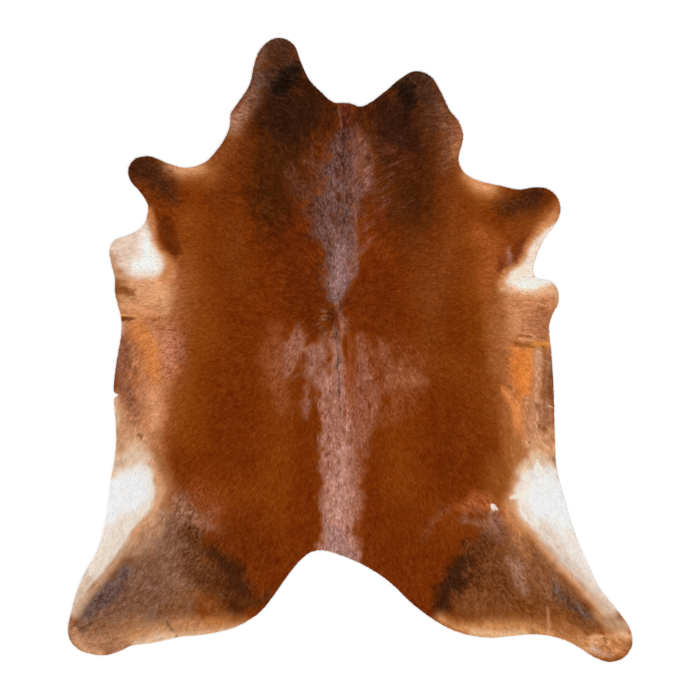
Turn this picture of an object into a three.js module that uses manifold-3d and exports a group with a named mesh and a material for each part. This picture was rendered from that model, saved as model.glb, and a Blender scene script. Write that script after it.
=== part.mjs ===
// Cowhide rug: one whole hair-on hide, laid flat with the hair side up.
//
// Millimetres, +Z up. +Y runs from the tail to the neck and +X to the right, seen from above.
// The origin is on the floor, under the middle of the box around the outline.

import * as THREE from 'three';
import { mergeVertices } from 'three/addons/utils/BufferGeometryUtils.js';
import Module from 'manifold-3d';

const wasm = await Module();
wasm.setup();

// Driving dimensions.
const HIDE_LENGTH = 2489; // along Y, from the left neck lobe to the tip of the right hind leg
const LEATHER_THICKNESS = 2; // tanned and shaved skin
const HAIR_DEPTH = 4; // short coat, lying flat on the skin
const SAMPLES_PER_LANDMARK = 3; // outline points made for each landmark below
const COARSE_STEP = 60; // grid of the upper face, where it is nearly level
const FINE_STEP = 10; // grid across the bands of creases
const BLOCK_BOTTOM = -10; // relief block, from under the floor
const PRISM_TOP = 40; // outline prism, to over the highest ridge

// The cut edge, as landmarks [x, y] in order, anticlockwise seen from above.
// A smooth closed curve runs through them.
const OUTLINE = {
  leftNeckLobe: [
    [-77, 994], [-126, 1039], [-161, 1077], [-199, 1156], [-223, 1217], [-276, 1245], [-316, 1236],
    [-359, 1196], [-384, 1130], [-399, 1062], [-440, 995], [-474, 944], [-480, 891],
  ],
  leftShoulder: [[-505, 833], [-562, 761], [-592, 741], [-655, 726], [-725, 743]],
  leftForeLeg: [[-785, 769], [-811, 773], [-861, 759], [-885, 718], [-875, 675], [-835, 628]],
  leftElbow: [[-807, 582], [-808, 535], [-831, 489], [-885, 456]],
  leftBreast: [[-941, 436], [-959, 399], [-952, 346], [-938, 292]],
  leftBelly: [[-936, 227], [-917, 148], [-911, 111], [-913, 57], [-935, -75], [-941, -167]],
  leftNick: [[-934, -173], [-919, -180], [-934, -187], [-940, -194]],
  leftFlank: [[-940, -215], [-932, -332], [-938, -432], [-954, -519]],
  leftThigh: [[-964, -618], [-983, -718], [-1007, -798], [-1060, -894], [-1092, -971], [-1116, -1064]],
  leftHindTip: [
    [-1125, -1110], [-1116, -1157], [-1077, -1198], [-1011, -1216], [-971, -1217], [-911, -1198],
    [-875, -1180],
  ],
  leftHaunch: [
    [-798, -1170], [-678, -1144], [-592, -1136], [-505, -1120], [-439, -1097], [-359, -1045],
    [-298, -970], [-255, -908],
  ],
  tailNotch: [[-198, -838], [-156, -806], [-117, -798], [-77, -805], [0, -832], [80, -872], [160, -927]],
  rightHaunch: [
    [239, -1003], [320, -1066], [403, -1114], [480, -1138], [557, -1147], [641, -1141], [724, -1134],
    [800, -1141], [871, -1163],
  ],
  rightHindTip: [
    [935, -1200], [973, -1224], [1031, -1244], [1088, -1230], [1124, -1181], [1118, -1117],
    [1072, -1047],
  ],
  rightThigh: [[1005, -967], [944, -848], [890, -714], [849, -573], [823, -471]],
  rightBelly: [[817, -356], [812, -160], [802, -4], [793, 93]],
  rightBreast: [[806, 139], [830, 190], [827, 241], [798, 274], [742, 285]],
  rightElbow: [[729, 315], [743, 377], [776, 445]],
  rightForeLeg: [[813, 494], [838, 549], [829, 604], [789, 642], [727, 648], [675, 639]],
  rightShoulder: [[602, 654], [494, 681], [448, 715], [432, 764]],
  rightNeckLobe: [
    [450, 838], [450, 863], [433, 912], [399, 954], [356, 1041], [319, 1094], [261, 1112],
    [205, 1086], [144, 1034], [83, 988],
  ],
  neckNotch: [[40, 970], [3, 982], [-33, 985], [-57, 985]],
};

// Soft ridges (height above zero) and troughs (below zero) of the upper face.
// Each follows the straight line between two points and fades out over its width.
const FOLDS = [
  { name: 'spine, fore half', from: [-38, 900], to: [-38, 160], width: 70, height: 1.5 },
  { name: 'spine, hind half', from: [-38, 160], to: [-30, -720], width: 80, height: 1.2 },
  { name: 'left shoulder swell', from: [-420, 700], to: [-300, 350], width: 150, height: 1 },
  { name: 'right shoulder swell', from: [360, 620], to: [250, 330], width: 150, height: 1 },
  { name: 'left thigh swell', from: [-850, -950], to: [-520, -700], width: 140, height: 1.2 },
  { name: 'right thigh swell', from: [830, -930], to: [500, -700], width: 140, height: 1.2 },
  { name: 'left breast trough', from: [-925, 219], to: [-860, 217], width: 18, height: -1.5 },
  { name: 'left breast ridge', from: [-920, 192], to: [-810, 196], width: 15, height: 2 },
  { name: 'left belly ridge', from: [-912, 137], to: [-855, 138], width: 9, height: 3 },
  { name: 'left belly crease', from: [-912, 121], to: [-795, 120], width: 9, height: -2.5 },
  { name: 'right belly crease', from: [690, 60], to: [795, 46], width: 9, height: -2.5 },
  { name: 'right belly ridge', from: [655, 50], to: [735, 34], width: 9, height: 3 },
  { name: 'right belly lower ridge', from: [610, 12], to: [735, 2], width: 12, height: 2 },
  { name: 'right belly groove, upper half', from: [758, -8], to: [762, -140], width: 10, height: -2 },
  { name: 'right belly groove, lower half', from: [762, -140], to: [750, -360], width: 10, height: -2 },
];

// Bands of x and of y, [low, high], that hold the creases of both belly edges.
const CREASE_BANDS_X = [[-960, -790], [650, 800]];
const CREASE_BANDS_Y = [[-10, 80], [100, 240]];

// Smooth closed outline through the landmarks, scaled to the hide's length and centred on the origin.
function outlinePoints() {
  const landmarks = Object.values(OUTLINE).flat().map(([x, y]) => new THREE.Vector3(x, y, 0));
  const curve = new THREE.CatmullRomCurve3(landmarks, true, 'centripetal');
  const points = curve.getPoints(landmarks.length * SAMPLES_PER_LANDMARK).slice(1);
  const box = new THREE.Box3().setFromPoints(points);
  const middle = box.getCenter(new THREE.Vector3());
  const scale = HIDE_LENGTH / (box.max.y - box.min.y);
  return points.map((point) => point.sub(middle).multiplyScalar(scale));
}

// Height of the upper face over the floor: leather and coat, with the folds added as soft bell curves.
function upperFace(x, y) {
  const point = new THREE.Vector3(x, y, 0);
  const foot = new THREE.Vector3();
  const rise = FOLDS.map(({ from, to, width, height }) => {
    const line = new THREE.Line3(new THREE.Vector3(...from, 0), new THREE.Vector3(...to, 0));
    const away = line.closestPointToPoint(point, true, foot).distanceTo(point);
    return height * Math.exp(-((away / width) ** 2));
  });
  return LEATHER_THICKNESS + HAIR_DEPTH + rise.reduce((sum, part) => sum + part, 0);
}

// Grid lines from one end past the other, close together inside the bands.
function gridLines(start, end, bands) {
  const lines = [start];
  while (lines.at(-1) < end) {
    const here = lines.at(-1);
    const inBand = bands.some(([low, high]) => here >= low && here < high);
    lines.push(here + (inBand ? FINE_STEP : COARSE_STEP));
  }
  return lines;
}

// A closed mesh as a solid that can be cut.
function toSolid(geometry) {
  geometry.deleteAttribute('normal');
  geometry.deleteAttribute('uv');
  const merged = mergeVertices(geometry);
  const vertProperties = new Float32Array(merged.attributes.position.array);
  const triVerts = new Uint32Array(merged.index.array);
  return new wasm.Manifold(new wasm.Mesh({ numProp: 3, vertProperties, triVerts }));
}

// A solid as a geometry, with flat faces.
function toGeometry(solid) {
  const { vertProperties, triVerts } = solid.getMesh();
  const geometry = new THREE.BufferGeometry();
  geometry.setAttribute('position', new THREE.BufferAttribute(vertProperties, 3));
  geometry.setIndex(new THREE.BufferAttribute(triVerts, 1));
  geometry.computeVertexNormals();
  return geometry;
}

// A block wider than the hide, whose top is the upper face.
function reliefBlock(box) {
  const columns = gridLines(box.min.x - COARSE_STEP, box.max.x + COARSE_STEP, CREASE_BANDS_X);
  const rows = gridLines(box.min.y - COARSE_STEP, box.max.y + COARSE_STEP, CREASE_BANDS_Y);
  const cells = [columns.length - 1, rows.length - 1];
  const geometry = new THREE.BoxGeometry(...cells, PRISM_TOP, ...cells, 1);
  const position = geometry.attributes.position;
  for (let i = 0; i < position.count; i += 1) {
    const x = columns[Math.round(position.getX(i) + cells[0] / 2)];
    const y = rows[Math.round(position.getY(i) + cells[1] / 2)];
    const isTop = position.getZ(i) > 0;
    position.setXYZ(i, x, y, isTop ? upperFace(x, y) : BLOCK_BOTTOM);
  }
  return toSolid(geometry);
}

// The hide: the outline, cut straight down through the block, on a flat underside.
function hide() {
  const outline = outlinePoints();
  const box = new THREE.Box3().setFromPoints(outline);
  const shape = new THREE.Shape(outline.map(({ x, y }) => new THREE.Vector2(x, y)));
  const prism = new THREE.ExtrudeGeometry(shape, { depth: PRISM_TOP, bevelEnabled: false });
  const geometry = toGeometry(toSolid(prism).intersect(reliefBlock(box)));
  const hairOnLeather = new THREE.MeshStandardMaterial({ color: 0x7b3a10, roughness: 0.65, metalness: 0 });
  const mesh = new THREE.Mesh(geometry, hairOnLeather);
  mesh.name = 'hide';
  return mesh;
}

const cowhideRug = new THREE.Group();
cowhideRug.add(hide());

export default cowhideRug;
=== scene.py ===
"""Cowhide rug: a whole tanned hide with its hair on, laid flat, hair side up.

Metres, +Z up. +Y runs from the tail to the neck and +X to the right, seen from above.
"""
import math

import bpy
import numpy as np
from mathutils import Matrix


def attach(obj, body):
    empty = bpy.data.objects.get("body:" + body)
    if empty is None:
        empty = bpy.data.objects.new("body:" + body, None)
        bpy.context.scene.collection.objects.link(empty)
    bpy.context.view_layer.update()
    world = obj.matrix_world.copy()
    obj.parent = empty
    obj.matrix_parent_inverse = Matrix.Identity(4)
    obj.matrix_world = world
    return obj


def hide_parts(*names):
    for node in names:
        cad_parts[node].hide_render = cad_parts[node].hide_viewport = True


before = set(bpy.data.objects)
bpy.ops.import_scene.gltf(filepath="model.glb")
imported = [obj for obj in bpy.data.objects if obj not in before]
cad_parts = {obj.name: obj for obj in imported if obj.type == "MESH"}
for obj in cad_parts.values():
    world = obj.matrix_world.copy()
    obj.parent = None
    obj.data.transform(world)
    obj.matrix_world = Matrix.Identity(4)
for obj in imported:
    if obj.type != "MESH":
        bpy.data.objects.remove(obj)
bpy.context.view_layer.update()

# The skin. A full-thickness cattle hide, tanned, shaved to an even thickness and trimmed with a knife.
# It is one soft sheet that lies on the floor, lifted a little along the spine and in a few old creases.
# It has the markings of the hair that grows from it, so they come first, in centimetres on the hide.

# Where the hair points: a comb mark is a place on the hide and the way the hair lies there.
COMB_MARKS = np.array([
    # x, y, towards x, towards y
    (-3.6, 92, -0.05, 1), (-3.6, 60, 0, 1), (-3.6, 26, 0, 1),
    (5, 78, 0.45, 0.9), (14, 76, 0.85, 0.55), (26, 70, 0.92, 0.4), (11, 60, 0.86, 0.5), (12, 66, 0.87, 0.48),
    (20, 46, 0.9, 0.4), (9, 36, 0.6, 0.8), (22, 28, 1, 0.15), (40, 50, 1, 0.2), (40, 78, 0.95, 0.3),
    (-12, 78, -0.45, 0.9), (-22, 74, -0.65, 0.75), (-34, 66, -0.85, 0.5), (-18, 56, -0.6, 0.8),
    (-26, 42, -0.9, 0.4), (-15, 34, -0.6, 0.8), (-28, 26, -1, 0.15), (-48, 50, -1, 0.2),
    (-28, 106, -0.9, 0.45), (-36, 94, -0.95, 0.3), (26, 100, 0.9, 0.45), (38, 90, 0.95, 0.2),
    (-12, 95, -0.6, 0.8), (10, 94, 0.6, 0.8),
    (-78, 66, -0.84, 0.5), (-62, 60, -0.95, 0.2), (74, 58, 0.97, 0.1), (60, 56, 1, 0.1),
    (-85, 36, -1, 0.05), (76, 28, 1, 0), (-64, 30, -1, 0), (56, 30, 1, 0),
    (-10, 15.5, -1, -0.1), (3, 15.5, 1, -0.1), (-22, 12, -0.8, -0.6), (16, 12, 0.8, -0.6),
    (-45, 14, -1, -0.1), (42, 14, 1, -0.1), (-66, 6, -1, -0.15), (60, 6, 1, -0.15),
    (-3.6, 6, 0, -1), (-3.6, -30, 0, -1), (-3.6, -72, 0, -1),
    (-14, 0, -0.25, -1), (8, 0, 0.25, -1), (-28, -8, -0.5, -0.85), (20, -8, 0.5, -0.85),
    (-16, -36, -0.15, -1), (10, -36, 0.15, -1), (-32, -40, -0.4, -0.9), (28, -40, 0.4, -0.9),
    (-52, -30, -0.8, -0.6), (48, -30, 0.8, -0.6), (-56, -52, -0.65, -0.75), (50, -52, 0.65, -0.75),
    (-86, -10, -0.6, -0.8), (76, -12, 0.5, -0.85), (-86, -34, -0.5, -0.85), (76, -34, 0.4, -0.9),
    (-90, -60, -0.3, -0.95), (80, -60, 0.3, -0.95), (-96, -78, -0.4, -0.9), (90, -80, 0.4, -0.9),
    (-66, -72, -0.6, -0.8), (62, -72, 0.6, -0.8), (-74, -92, -0.75, -0.65), (72, -92, 0.7, -0.7),
    (-46, -84, -0.35, -0.95), (44, -84, 0.4, -0.9), (-50, -104, -0.6, -0.8), (52, -106, 0.6, -0.8),
    (-98, -110, -0.8, -0.6), (100, -112, 0.75, -0.65), (-22, -78, -0.2, -1), (22, -82, 0.25, -1),
], dtype=float)
COMB_REACH = 9.0  # square centimetres, rounds off each mark's pull close by


def hair_lie(x, y):
    """Unit vector of the hair's lie: comb marks averaged by the inverse fourth power of distance."""
    marks = COMB_MARKS[:, 2:] / np.linalg.norm(COMB_MARKS[:, 2:], axis=1, keepdims=True)
    towards = np.zeros((len(x), 2))
    for (mark_x, mark_y), way in zip(COMB_MARKS[:, :2], marks):
        weight = ((x - mark_x) ** 2 + (y - mark_y) ** 2 + COMB_REACH) ** -2
        towards += weight[:, None] * way
    return towards / np.linalg.norm(towards, axis=1, keepdims=True)


def noise(x, y, cell, seed):
    """Smooth noise from -1 to 1: random values on a square lattice, blended across each cell."""
    side = 256
    lattice = np.random.default_rng(seed).random((side, side)) * 2 - 1
    gx, gy = x / cell, y / cell
    ix, iy = np.floor(gx).astype(int), np.floor(gy).astype(int)
    fx, fy = gx - ix, gy - iy
    fx, fy = fx * fx * (3 - 2 * fx), fy * fy * (3 - 2 * fy)
    ix, iy = ix % side, iy % side
    jx, jy = (ix + 1) % side, (iy + 1) % side
    low = lattice[ix, iy] * (1 - fx) + lattice[jx, iy] * fx
    high = lattice[ix, jy] * (1 - fx) + lattice[jx, jy] * fx
    return low * (1 - fy) + high * fy


def streak(x, y, lie, cell, length, seed):
    """Noise drawn out along the hair: the sum of noise at nine steps along the lie, over its usual size."""
    usual_size = 3.2
    steps = np.linspace(-0.5, 0.5, 9) * length
    total = sum(noise(x + s * lie[:, 0], y + s * lie[:, 1], cell, seed) for s in steps)
    return total / usual_size


def srgb(hexa):
    """Hex colour as sRGB values from 0 to 1."""
    return np.array([int(hexa[i:i + 2], 16) for i in (1, 3, 5)]) / 255


def to_linear(value):
    """sRGB values as linear ones."""
    return np.where(value <= 0.04045, value / 12.92, ((value + 0.055) / 1.055) ** 2.4)


def linear(hexa):
    """sRGB hex colour as linear values."""
    return to_linear(srgb(hexa))


def stroke(x, y, path):
    """Distance outside a round brush stroke whose radius changes along its path, below 0 inside."""
    path = np.array(path, dtype=float)
    if len(path) == 1:
        path = np.repeat(path, 2, axis=0)
    best = np.full(len(x), np.inf)
    for start, end in zip(path[:-1], path[1:]):
        run = end[:2] - start[:2]
        along = ((x - start[0]) * run[0] + (y - start[1]) * run[1]) / max(run @ run, 1e-9)
        along = np.clip(along, 0, 1)
        gap = np.hypot(x - start[0] - along * run[0], y - start[1] - along * run[1])
        best = np.minimum(best, gap - start[2] - along * (end[2] - start[2]))
    return best


# Chestnut with dark points, white flanks and silver along the back with painted sheen on it, and painted
# light and shade along creases and folds, laid as washes over a ground colour.
# Each wash is one brush stroke: points on the hide, each with the radius at which the wash is half gone.
GROUND = "#762d00"
GROUND_BREAKS = 0.15
WASHES = [
    # name, colour, strength, soft edge, raggedness, breaks, stroke: x, y, radius
    # Flanks and loin.
    ("left shoulder rust", "#8f4412", 0.85, 16, 2, 0.15,
     [(-65, 52, 7), (-64, 36, 7), (-62, 20, 8), (-58, 4, 5)]),
    ("right shoulder rust", "#8a410a", 0.75, 16, 2, 0.15,
     [(48, 54, 5), (50, 44, 8), (54, 22, 9), (54, 4, 5)]),
    ("left flank glow", "#8a3e08", 0.8, 14, 2, 0.15,
     [(-58, 8, 3), (-62, -8, 5), (-64, -24, 6), (-63, -36, 4)]),
    ("right flank glow", "#883f0c", 0.75, 14, 2, 0.15,
     [(30, 2, 2), (38, -6, 5), (52, -10, 6), (56, -28, 5)]),
    ("left haunch glow", "#863a06", 0.85, 18, 3, 0.15,
     [(-29, -14, 4), (-27, -30, 5), (-31, -62, 9), (-50, -56, 5)]),
    ("right haunch glow", "#8a3c08", 0.8, 18, 3, 0.15,
     [(21, -22, 3), (19, -34, 5), (20, -52, 7), (30, -58, 5), (42, -70, 4)]),
    ("left loin shade", "#732b00", 0.7, 12, 3, 0.15, [(-48, -6, 3), (-50, -30, 6), (-44, -46, 6)]),
    ("left rump shade", "#762a00", 0.7, 6, 1.5, 0.15, [(-19, -30, 2), (-19, -50, 3), (-20, -74, 3)]),
    ("right rump shade", "#742900", 0.6, 8, 2, 0.15, [(8, -50, 1), (10, -80, 4)]),
    ("right loin shade", "#702a00", 0.7, 16, 3, 0.15, [(44, -34, 5), (38, -48, 7), (36, -56, 6)]),
    ("left mahogany", "#622200", 0.85, 16, 2.5, 0.15,
     [(-27, 60, 7), (-26, 44, 9), (-19, 24, 8), (-14, 9, 3)]),
    ("right mahogany", "#6b2500", 0.8, 12, 2, 0.15, [(3, 20, 3), (12, 32, 5), (13, 14, 7)]),
    ("left tail side", "#6b2700", 0.7, 18, 2, 0.15, [(-42, -70, 7), (-36, -84, 7)]),
    ("right tail side", "#722a00", 0.6, 16, 2, 0.15, [(8, -80, 6), (24, -92, 8)]),
    # Neck.
    ("left neck shade", "#411b06", 0.95, 24, 2, 0.15,
     [(-24, 96, 16), (-28, 78, 12), (-32, 62, 9), (-32, 52, 3)]),
    ("right neck shade", "#411b07", 0.95, 26, 2, 0.15,
     [(20, 92, 18), (24, 72, 13), (25, 58, 10), (26, 44, 3)]),
    ("left neck dark", "#2f130a", 0.9, 14, 2, 0.15,
     [(-18, 105, 4), (-14, 96, 5), (-24, 93, 10), (-34, 91, 4)]),
    ("right neck dark", "#30120b", 0.85, 13, 2, 0.15, [(12, 98, 4), (18, 92, 8), (20, 82, 7)]),
    ("poll rust", "#4a1d0d", 0.8, 10, 1.5, 0.2, [(-9, 94, 2), (-8.6, 84, 2.6), (4, 95, 3), (2, 86, 1)]),
    ("left neck tawny", "#6e3210", 0.6, 10, 2, 0.2, [(-42, 84, 4), (-48, 74, 5), (-52, 62, 4)]),
    ("left lobe brown", "#49291c", 0.92, 7, 1, 0.25, [(-29, 120, 8), (-24, 114, 5), (-33, 108, 6)]),
    ("left lobe rim", "#6a4431", 0.7, 4, 1, 0.35, [(-31, 124, 1.5), (-37, 119, 1.5), (-40, 110, 1)]),
    ("left lobe sheen", "#74564c", 0.8, 5, 1.5, 0.5,
     [(-35, 118, 2), (-37, 113, 2.4), (-37, 107, 3), (-39, 101, 2.4)]),
    ("left lobe spot", "#0e0605", 0.92, 6, 1.2, 0.2,
     [(-20.5, 113, 0.8), (-24, 110, 2.2), (-26.6, 107, 3.4), (-27.6, 103.4, 3)]),
    ("left lobe edge", "#8a5b48", 0.9, 5, 1, 0.5,
     [(-40, 105, 2), (-41.4, 98, 3.4), (-44, 93, 4), (-46, 89, 3.5)]),
    ("left lobe tan", "#b57f66", 0.75, 5, 1, 0.5, [(-43, 96, 1.5), (-46, 91, 3), (-47, 86, 2)]),
    ("right lobe brown", "#44291e", 0.92, 8, 1.5, 0.25,
     [(22, 110, 4), (29, 108, 6), (33, 99, 5), (34, 90, 3)]),
    ("right lobe spot", "#160a08", 0.92, 6, 1, 0.2, [(17, 107, 0.5), (22, 103, 3.5), (25, 98, 2.5)]),
    ("right lobe edge", "#7e4c35", 0.88, 9, 1.2, 0.45,
     [(37, 99, 2.5), (39, 90, 4.2), (41, 82, 5), (38, 73, 3)]),
    ("right lobe tan", "#a5684a", 0.8, 6, 1, 0.35, [(43, 93, 1.5), (44, 86, 2.8), (43, 79, 1.8)]),
    ("left shoulder gold", "#813f14", 0.6, 12, 2, 0.15, [(-47, 49, 4), (-47, 40, 5), (-44, 28, 4)]),
    ("right shoulder gold", "#833f16", 0.7, 12, 2, 0.15,
     [(40, 66, 4), (42, 50, 5), (39, 34, 6), (33, 22, 6)]),
    ("right body gold", "#7e3b12", 0.6, 14, 2, 0.15, [(25, 46, 3), (30, 34, 6), (32, 18, 7), (32, 6, 4)]),
    ("right wing red", "#5c260e", 0.7, 6, 1.5, 0.3, [(17, 81, 2), (22, 76, 3.5), (23, 70, 3)]),
    ("right lobe red", "#623319", 0.6, 8, 1.2, 0.3, [(32, 97, 2), (32, 84, 3)]),
    # Fore legs.
    ("left neck rim", "#8e5028", 0.75, 9, 0.6, 0.2, [(-47, 85, 2), (-51, 79, 3), (-56, 75, 3)]),
    ("left notch tan", "#a05b2a", 0.92, 12, 0.8, 0.15, [(-75, 74, 3), (-67, 72, 5.5), (-57, 71, 5)]),
    ("left notch light", "#d9a075", 0.9, 7, 0.5, 0.2, [(-74, 73, 1.5), (-68, 72, 3), (-60, 72.5, 2)]),
    ("left fore leg", "#3f1d10", 0.95, 11, 0.8, 0.2,
     [(-84, 73, 6), (-79, 70, 5), (-74, 65, 4), (-71, 61, 2)]),
    ("left fore leg rust", "#6e3512", 0.6, 6, 0.8, 0.2, [(-85, 66, 1), (-80, 59, 2.5)]),
    ("left elbow crease", "#a06a4a", 0.6, 0.8, 0.2, 0.3, [(-80, 58.5, 0.2), (-76, 56, 0.2)]),
    ("right notch tan", "#a9632f", 0.92, 12, 0.8, 0.15,
     [(45, 76, 2.6), (50, 68, 4.8), (55, 64, 5.2), (60, 62, 2.6)]),
    ("right notch light", "#e2a272", 0.94, 7, 0.5, 0.2, [(47, 70, 1.5), (51, 66, 3), (56, 64.6, 2.2)]),
    ("right fore leg", "#4a2310", 0.95, 10, 0.8, 0.2,
     [(63, 57, 3.2), (67, 58, 4), (71, 58.5, 4.5), (75, 60.6, 3.2)]),
    ("right fore leg dark", "#2e1610", 0.75, 6, 0.8, 0.2, [(70, 62.4, 1.4), (74, 63, 2)]),
    ("right fore leg rust", "#8c4719", 0.8, 10, 1, 0.15, [(78, 52, 3), (72, 49, 4), (66, 47, 4)]),
    ("right fore leg rim", "#b87243", 0.92, 7, 0.6, 0.2, [(84, 58, 2), (81, 53, 3.2), (77, 48, 2.8)]),
    # Breast and belly, left.
    ("left breast rim", "#aa653c", 0.92, 15, 1, 0.3,
     [(-74, 29, 9), (-75, 8, 9.6), (-75, -6, 8.5), (-77, -24, 7.5), (-80, -44, 5)]),
    ("left breast tan", "#d39a6f", 0.95, 6, 0.8, 0.25,
     [(-88, 22, 6.6), (-79, 22.5, 8.4), (-79, 17, 7.4), (-90, 15, 6)]),
    ("left breast pale", "#dfa982", 0.8, 3.5, 0.5, 0.2,
     [(-91, 28.4, 1.4), (-82, 28, 1.6), (-75, 29, 2.6), (-72, 30.4, 2)]),
    ("left breast light", "#e3a878", 0.85, 5, 0.8, 0.25, [(-75.5, 29, 2), (-76, 24, 2.4), (-79, 21, 2)]),
    ("left elbow seal", "#cc9a74", 0.9, 3, 0.5, 0.1, [(-94, 33, 2), (-93.6, 30, 1.8), (-89, 30.4, 2.2)]),
    ("left breast edge", "#dcb294", 0.7, 2, 0.4, 0.1, [(-95.5, 27, 1.2), (-94.5, 24, 1)]),
    # Painted shade in the trough of the left breast flap.
    ("left breast trough shade", "#86481f", 0.95, 3, 0.5, 0.2,
     [(-93, 23.6, 2.2), (-90.5, 23.4, 2.4), (-87.4, 22.8, 1.6)]),
    ("left belly tan", "#bf7a50", 0.94, 7, 1, 0.3,
     [(-84, 8, 10.5), (-82, -2, 10), (-82, -14, 9), (-84, -26, 8.4)]),
    ("left breast warm", "#dd9c6c", 0.85, 4, 0.8, 0.25,
     [(-88, 17, 1.8), (-82, 15.6, 2), (-79.4, 15.4, 1.4)]),
    ("left belly rust", "#8f430f", 0.6, 8, 1, 0.2, [(-69, -20, 2.6), (-69, -34, 2.6)]),
    ("left belly rose", "#bd7856", 0.85, 6, 1.5, 0.6, [(-72, 8, 3.4), (-73, 2, 4), (-72, -7, 4)]),
    ("left belly rim", "#cda183", 0.75, 1.4, 0.3, 0.2, [(-91.2, 11, 1.1), (-91.6, 4, 1)]),
    ("left belly fleck", "#a7644a", 0.6, 4, 2, 0.8, [(-69, 3, 2), (-67.5, -4, 2.4)]),
    ("left belly amber", "#d38244", 0.9, 5, 0.8, 0.25,
     [(-84.6, 9, 2.8), (-82, 4.7, 3.2), (-79.1, 0, 3), (-78.7, -6, 3), (-77.7, -12, 2)]),
    ("left flank seal", "#c08964", 0.9, 5, 0.8, 0.3, [(-93, -19, 2.6), (-92, -25, 4), (-91.5, -33, 4.4)]),
    ("left belly strip", "#925b40", 0.94, 5, 0.8, 0.35,
     [(-92.6, 3, 2.6), (-91.6, -1.5, 4.4), (-91, -5.4, 4.4), (-92.2, -10, 2.6), (-91, -14, 2.4),
      (-88.8, -18, 2.6), (-87, -23, 2.6), (-85.4, -28, 1.4)]),
    ("left belly mauve", "#b27c5d", 0.6, 3, 0.8, 0.4, [(-82.8, -16, 1.2), (-82.6, -24, 1.4)]),
    ("left flank orange", "#d3956a", 0.9, 6, 1, 0.3,
     [(-79, -17, 2.6), (-77.6, -23, 3.8), (-79, -31, 3.2)]),
    ("left flank edge", "#deb999", 0.92, 3, 0.5, 0.15,
     [(-94.5, -19.5, 1.6), (-94.6, -25, 2.6), (-94.6, -33, 2.8), (-94.6, -42, 2.8)]),
    ("left flank tan", "#cd966f", 0.92, 5, 0.8, 0.3,
     [(-90, -34, 3.4), (-85, -34, 3.6), (-82, -37, 4), (-89, -38, 3.4)]),
    ("left flank fawn", "#d6ab87", 0.95, 4, 0.5, 0.15,
     [(-93, -37, 3), (-87, -40, 5), (-92, -46, 6), (-96, -49, 4), (-82, -46, 4.4)]),
    ("left flank border", "#b47446", 0.88, 5, 0.6, 0.2,
     [(-77.4, -34, 2.2), (-76.4, -42, 2.2), (-76, -47, 1.8)]),
    ("left flank cream", "#dfc4ad", 0.94, 5, 0.4, 0.08,
     [(-94, -48.4, 3.4), (-89.4, -44, 2.4), (-86, -41.6, 3), (-83, -43.5, 3.4), (-81, -47, 3.6),
      (-89, -47, 3.4)]),
    ("left flank dun", "#bd8b64", 0.75, 3, 0.5, 0.2, [(-92.4, -33, 2.4), (-92, -39, 2.2)]),
    ("left flank dull", "#c6a58b", 0.75, 2.4, 0.4, 0.2, [(-93.6, -45.6, 1), (-90.6, -45.4, 1.2)]),
    ("left flank mark", "#7a4a2e", 0.7, 1, 0.4, 0.4, [(-84.5, -34, 0.4), (-83, -35, 0.4)]),
    # Breast and belly, right.
    ("right breast rust", "#a55223", 0.9, 9, 1.2, 0.25,
     [(52, 46, 4), (58, 40, 5), (56, 32, 5), (54, 24, 4)]),
    ("right breast rim", "#a25c2e", 0.92, 12, 1, 0.25,
     [(66, 24, 9.5), (66, 6, 10), (66, -12, 9.5), (67, -28, 7), (69, -42, 7)]),
    ("right breast glow, left", "#a86338", 0.75, 8, 1, 0.25,
     [(57.6, 15, 3), (59, 4, 3.4), (58.6, -7, 3)]),
    ("right breast tan", "#c68559", 0.95, 5, 0.8, 0.3,
     [(69, 19, 7.5), (77, 18, 8), (69, 9, 7), (77, 10, 8)]),
    # Painted shade over the right breast flap.
    ("right breast shade", "#ad6b45", 0.8, 6, 1, 0.3, [(77, 14.5, 2.6), (75, 9, 4), (78, 8, 3)]),
    ("right breast light", "#e4b68e", 0.94, 4, 0.4, 0.12,
     [(61, 24.6, 1.4), (68, 23.6, 2.5), (74, 23.8, 2.8), (81, 24.5, 2.8)]),
    ("right elbow white", "#f8efe8", 0.97, 3.6, 0.3, 0.03,
     [(72.4, 34, 1.4), (71.2, 30.5, 2.8), (66.8, 28.6, 2.8), (65, 27.4, 1.8), (69.6, 26.6, 3),
      (72.6, 26.8, 3.2), (79, 27.8, 1.8)]),
    ("right breast rim light", "#d3a27c", 0.7, 2.4, 0.4, 0.12, [(83, 24, 1.4), (83, 19, 1.2)]),
    ("right breast glow", "#cf8d5e", 0.8, 4, 0.8, 0.2,
     [(71, 19.4, 1.6), (66, 19.4, 2.6), (66.2, 9, 1.6)]),
    ("right belly rose", "#b86f40", 0.92, 5, 1, 0.35,
     [(65, 2, 3.4), (69, -8, 7), (69, -22, 6.4), (71, -32, 5)]),
    ("right belly amber", "#d67a33", 0.94, 3.5, 0.6, 0.2,
     [(66.6, -1, 2.4), (67, -7.2, 2.8), (67.4, -13, 2.4), (68.6, -18.5, 1.8)]),
    ("right belly bright", "#e48c42", 0.9, 3.5, 0.5, 0.2,
     [(71.6, -1, 2.4), (71, -6.4, 2.8), (70.4, -12, 2.6), (70.6, -17, 2)]),
    ("right belly tan", "#c88a60", 0.9, 3.5, 0.8, 0.35,
     [(71, -20, 2), (71.3, -26, 3), (71.5, -32, 3), (72, -36, 3)]),
    ("right flank orange", "#a75e2d", 0.9, 6, 0.6, 0.2,
     [(63, -19, 2.4), (63.4, -30, 3.2), (63.6, -42, 3), (64, -48, 2.6)]),
    ("right belly stripe", "#dc8b4e", 0.92, 2.8, 0.4, 0.25,
     [(61.4, -15.6, 1), (64, -19.4, 1.6), (66.4, -23.4, 2.2), (67, -28, 2.2), (67.4, -33, 1.8),
      (69.4, -36, 1.2)]),
    # Painted light along the side of the belly groove.
    ("right belly groove light", "#c9926d", 0.9, 3, 0.5, 0.4,
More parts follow.
